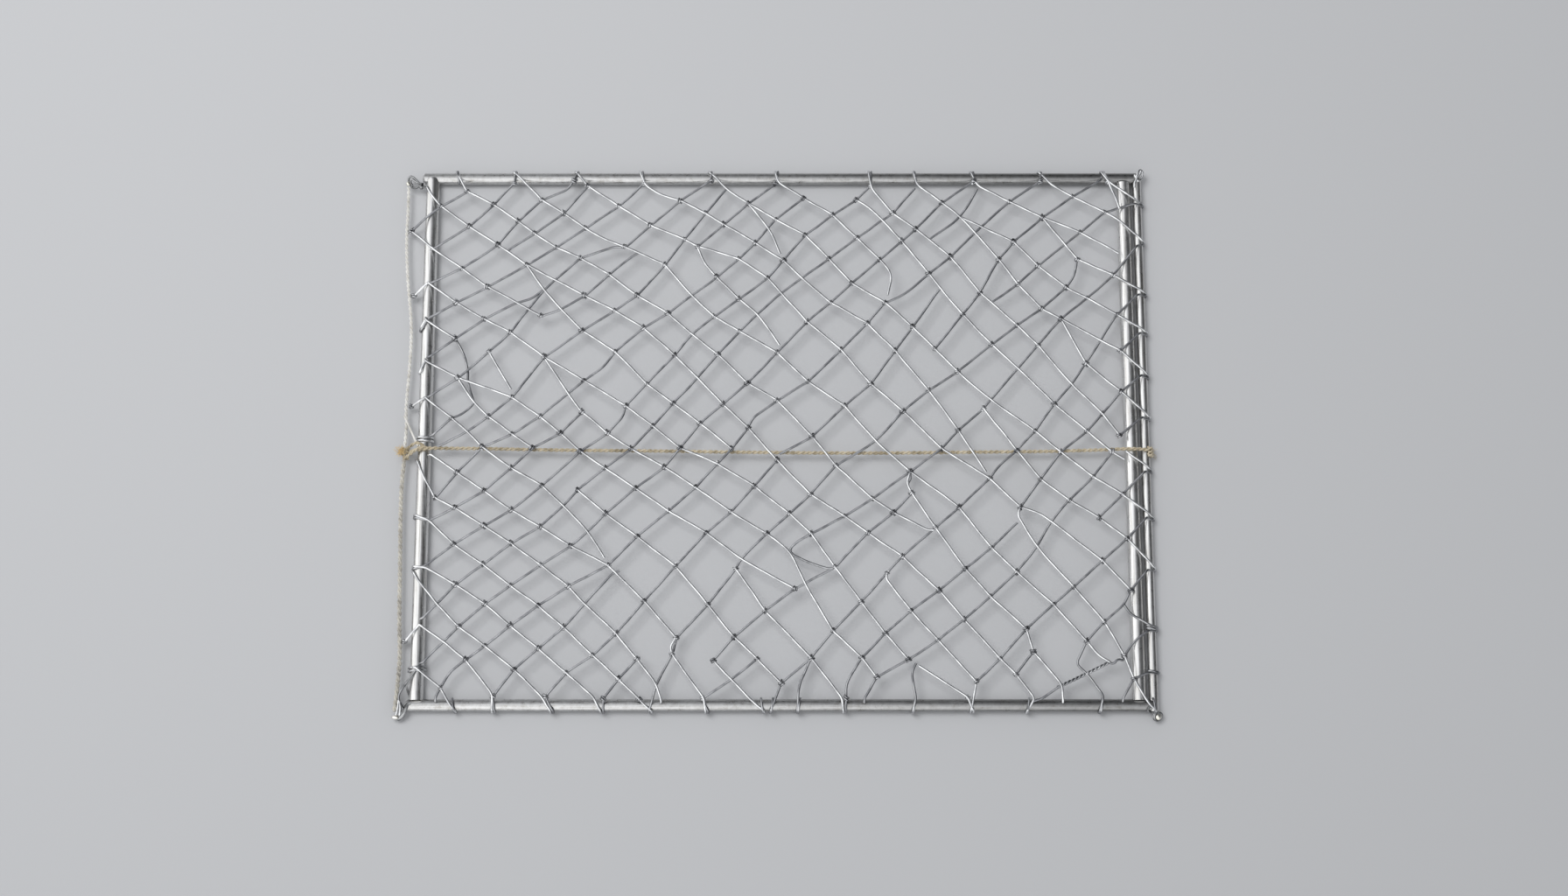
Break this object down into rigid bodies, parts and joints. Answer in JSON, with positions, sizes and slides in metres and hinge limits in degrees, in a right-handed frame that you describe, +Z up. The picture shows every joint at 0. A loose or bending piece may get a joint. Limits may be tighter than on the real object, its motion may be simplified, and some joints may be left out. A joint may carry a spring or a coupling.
{
  "type": "wire gauze",
  "caption": "Flat rectangular gauze: a hand-knotted net of soft wire on a frame of steel rods, tied with a twine across the middle and a string down one side.",
  "frame": {"origin": "on the ground under the middle of the frame, half way between the centres of its outermost rods", "axes": "+X along the long side, towards the pair of rods; +Y towards the top rail; +Z up through the net, whose hooks turn down"},
  "size_m": [0.2073, 0.1541, 0.0059],
  "materials": {
    "rod_steel": "satin drawn rod, mottled grey with bright edges",
    "net_wire": "bright soft wire, bent by hand",
    "twine": "two-ply natural twine, beige, frayed at its ends",
    "string": "two-ply white string"
  },
  "bodies": {
    "root": {"bottom_left_loop": "net_wire", "bottom_rail": "rod_steel", "bottom_right_ring": "net_wire", "cross_twine": "twine", "falling_wires_01": "net_wire", "falling_wires_02": "net_wire", "falling_wires_03": "net_wire", "falling_wires_04": "net_wire", "falling_wires_05": "net_wire", "falling_wires_06": "net_wire", "falling_wires_07": "net_wire", "falling_wires_08": "net_wire", "falling_wires_09": "net_wire", "falling_wires_10": "net_wire", "falling_wires_11": "net_wire", "falling_wires_12": "net_wire", "falling_wires_13": "net_wire", "falling_wires_14": "net_wire", "falling_wires_15": "net_wire", "falling_wires_16": "net_wire", "falling_wires_17": "net_wire", "falling_wires_18": "net_wire", "falling_wires_19": "net_wire", "falling_wires_20": "net_wire", "falling_wires_21": "net_wire", "inner_stile": "rod_steel", "left_stile": "rod_steel", "left_string": "string", "left_twine": "twine", "outer_rod": "rod_steel", "rising_wires_01": "net_wire", "rising_wires_02": "net_wire", "rising_wires_03": "net_wire", "rising_wires_04": "net_wire", "rising_wires_05": "net_wire", "rising_wires_06": "net_wire", "rising_wires_07": "net_wire", "rising_wires_08": "net_wire", "rising_wires_09": "net_wire", "rising_wires_10": "net_wire", "rising_wires_11": "net_wire", "rising_wires_12": "net_wire", "rising_wires_13": "net_wire", "rising_wires_14": "net_wire", "rising_wires_15": "net_wire", "rising_wires_16": "net_wire", "rising_wires_17": "net_wire", "rising_wires_18": "net_wire", "rising_wires_19": "net_wire", "rising_wires_20": "net_wire", "rising_wires_21": "net_wire", "rising_wires_22": "net_wire", "rising_wires_23": "net_wire", "rising_wires_24": "net_wire", "stile_wrap": "net_wire", "top_left_loop": "net_wire", "top_rail": "rod_steel", "top_right_loop": "net_wire", "twine_end": "twine", "twine_knot": "twine"}
  },
  "joints": []
}
